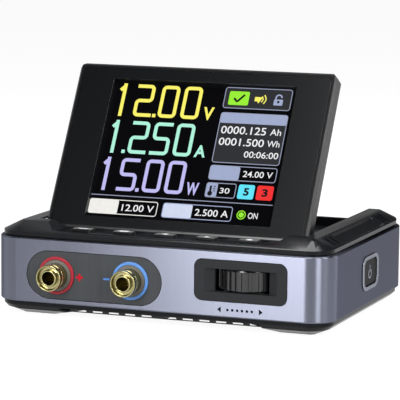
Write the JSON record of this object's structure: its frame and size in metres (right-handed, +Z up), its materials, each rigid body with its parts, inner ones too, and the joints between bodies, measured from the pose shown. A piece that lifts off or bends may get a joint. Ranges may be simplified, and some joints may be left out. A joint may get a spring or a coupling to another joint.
{
  "type": "laboratory power supply",
  "caption": "Compact bench power supply in an aluminium band: flip-up display, 4 mm output sockets, ribbed thumbwheel, soft keys and a side power button.",
  "frame": {"origin": "on the surface the feet stand on, under the middle of the unit's bounding box, sockets included", "axes": "+X to the right seen from the front, -Y out of the front with the sockets and the wheel, +Z up"},
  "size_m": [0.1064, 0.0822, 0.0724],
  "materials": {
    "anodised_aluminium": "satin blue-grey anodised",
    "bare_aluminium": "bare extruded",
    "cover_plastic": "fine spark texture",
    "pad_rubber": "matt",
    "screw_steel": "zinc plated",
    "hinge_steel": "ground",
    "panel_plastic": "fine brushed",
    "bezel_plastic": "satin",
    "red_plastic": "moulded red",
    "blue_plastic": "moulded blue",
    "gold_plated_brass": "gold plated",
    "washer_grey": "grey",
    "wheel_plastic": "soft sheen",
    "part_black": "moulded black",
    "silver_ring": "satin silver",
    "button_plastic": "satin black",
    "key_plastic": "satin black",
    "switch_parts": "switch bodies",
    "circuit_board": "green solder mask",
    "frame_plastic": "satin charcoal",
    "fascia_gloss": "glossy black",
    "display_glass": "black glass over the panel",
    "cable_jacket": "black jacket",
    "inductor_powder": "pressed powder",
    "can_aluminium": "drawn cans",
    "shunt_alloy": "copper alloy strip",
    "port_steel": "drawn shells"
  },
  "bodies": {
    "case": {"housing_band": "anodised_aluminium", "top_cover": "cover_plastic", "base_cover": "cover_plastic", "foot_pads": "pad_rubber", "cover_screws": "screw_steel", "rear_panel": "panel_plastic", "socket_panel": "panel_plastic", "positive_collar": "red_plastic", "negative_collar": "blue_plastic", "socket_washers": "washer_grey", "positive_socket": "gold_plated_brass", "negative_socket": "gold_plated_brass", "socket_nuts": "screw_steel", "socket_tags": "gold_plated_brass", "wheel_bezel": "bezel_plastic", "wheel_encoder": "part_black", "power_bezel": "silver_ring", "power_switch": "switch_parts", "key_switches": "switch_parts", "key_board": "circuit_board", "key_board_screws": "screw_steel", "display_cable": "cable_jacket", "hinge_tube": "hinge_steel", "hinge_pin": "hinge_steel", "hinge_washers": "hinge_steel", "main_board": "circuit_board", "board_screws": "screw_steel", "power_transistors": "part_black", "heat_sink": "bare_aluminium", "power_inductor": "inductor_powder", "capacitors": "can_aluminium", "control_chips": "part_black", "shunt_resistor": "shunt_alloy", "buzzer": "part_black", "fan_housing": "part_black", "fan_lid": "part_black", "dc_jack": "part_black", "power_inlet": "port_steel", "data_port": "port_steel"},
    "display": {"screen_frame": "frame_plastic", "screen_fascia": "fascia_gloss", "screen_back": "frame_plastic", "screen_screws": "screw_steel", "display_module": "display_glass", "display_board": "circuit_board", "display_lead": "cable_jacket"},
    "wheel": {"thumb_wheel": "wheel_plastic"},
    "power_key": {"power_button": "button_plastic"},
    "impeller": {"fan_impeller": "part_black"},
    "key_cap_1": {"key_1": "key_plastic"},
    "key_cap_2": {"key_2": "key_plastic"},
    "key_cap_3": {"key_3": "key_plastic"},
    "key_cap_4": {"key_4": "key_plastic"},
    "key_cap_5": {"key_5": "key_plastic"}
  },
  "joints": [
    {"name": "display_hinge", "type": "hinge", "parent": "case", "child": "display", "pos_m": [0, -0.01914, 0.0253], "axis": [1, 0, 0], "range_deg": [-60, 30]},
    {"name": "wheel_spin", "type": "hinge", "parent": "case", "child": "wheel", "pos_m": [0.026, -0.02565, 0.0151], "axis": [0, 0, 1], "continuous": true},
    {"name": "power_press", "type": "slide", "parent": "case", "child": "power_key", "axis": [-1, 0, 0], "range_m": [0, 0.0005], "stiffness_N_per_m": 1200, "springref_m": -0.0003},
    {"name": "fan_spin", "type": "hinge", "parent": "case", "child": "impeller", "pos_m": [-0.024, 0.00615, 0.011], "axis": [0, 0, 1], "continuous": true},
    {"name": "key_1_press", "type": "slide", "parent": "case", "child": "key_cap_1", "axis": [0, 0, -1], "range_m": [0, 0.0004], "stiffness_N_per_m": 1000, "springref_m": -0.0003},
    {"name": "key_2_press", "type": "slide", "parent": "case", "child": "key_cap_2", "axis": [0, 0, -1], "range_m": [0, 0.0004], "stiffness_N_per_m": 1000, "springref_m": -0.0003},
    {"name": "key_3_press", "type": "slide", "parent": "case", "child": "key_cap_3", "axis": [0, 0, -1], "range_m": [0, 0.0004], "stiffness_N_per_m": 1000, "springref_m": -0.0003},
    {"name": "key_4_press", "type": "slide", "parent": "case", "child": "key_cap_4", "axis": [0, 0, -1], "range_m": [0, 0.0004], "stiffness_N_per_m": 1000, "springref_m": -0.0003},
    {"name": "key_5_press", "type": "slide", "parent": "case", "child": "key_cap_5", "axis": [0, 0, -1], "range_m": [0, 0.0004], "stiffness_N_per_m": 1000, "springref_m": -0.0003}
  ]
}
